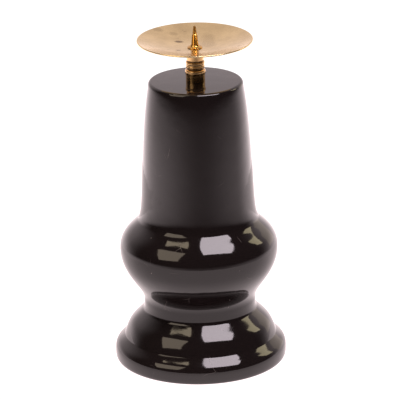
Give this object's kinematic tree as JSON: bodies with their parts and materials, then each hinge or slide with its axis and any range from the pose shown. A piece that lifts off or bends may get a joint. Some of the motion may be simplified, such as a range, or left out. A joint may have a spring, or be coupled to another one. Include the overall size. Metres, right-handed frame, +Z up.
{
  "type": "candlestick",
  "caption": "Turned ebonised wooden candlestick with a waisted foot and bulb, a brass ring stem, a shallow brass drip pan and a screw-in pricket.",
  "frame": {"origin": "centre of the felt's underside, where the candlestick rests", "axes": "+Z up along the turning axis; the object is round, so +X and +Y are any two horizontal directions"},
  "size_m": [0.105, 0.105, 0.2117],
  "materials": {
    "ebonised_wood": "gloss black lacquer over turned wood",
    "felt": "pressed wool felt",
    "insert_brass": "plain turned brass",
    "stem_brass": "turned and polished brass, darkened in the grooves",
    "pan_brass": "spun and polished brass with faint tarnish spots",
    "pricket_brass": "turned brass"
  },
  "bodies": {
    "candlestick": {"turned_body": "ebonised_wood", "base_felt": "felt", "threaded_insert": "insert_brass", "stem_ferrule": "stem_brass", "stem_ring": "stem_brass", "stem_collar": "stem_brass"},
    "pan": {"drip_pan": "pan_brass"},
    "washer": {"pricket_washer": "pricket_brass"},
    "pricket": {"pricket_spike": "pricket_brass"}
  },
  "joints": [
    {"name": "pan_turn", "type": "hinge", "parent": "candlestick", "child": "pan", "pos_m": [0, 0, 0.1976], "axis": [0, 0, 1], "continuous": true},
    {"name": "washer_lift", "type": "slide", "parent": "candlestick", "child": "washer", "axis": [0, 0, 1], "range_m": [0, 0.007]},
    {"name": "pricket_unscrew", "type": "hinge", "parent": "washer", "child": "pricket", "pos_m": [0, 0, 0.2001], "axis": [0, 0, 1], "range_deg": [0, 3600.01]}
  ],
  "couplings": [
    {"joint": "pricket_unscrew", "follows": "washer_lift", "rad_per_m": 8976}
  ]
}
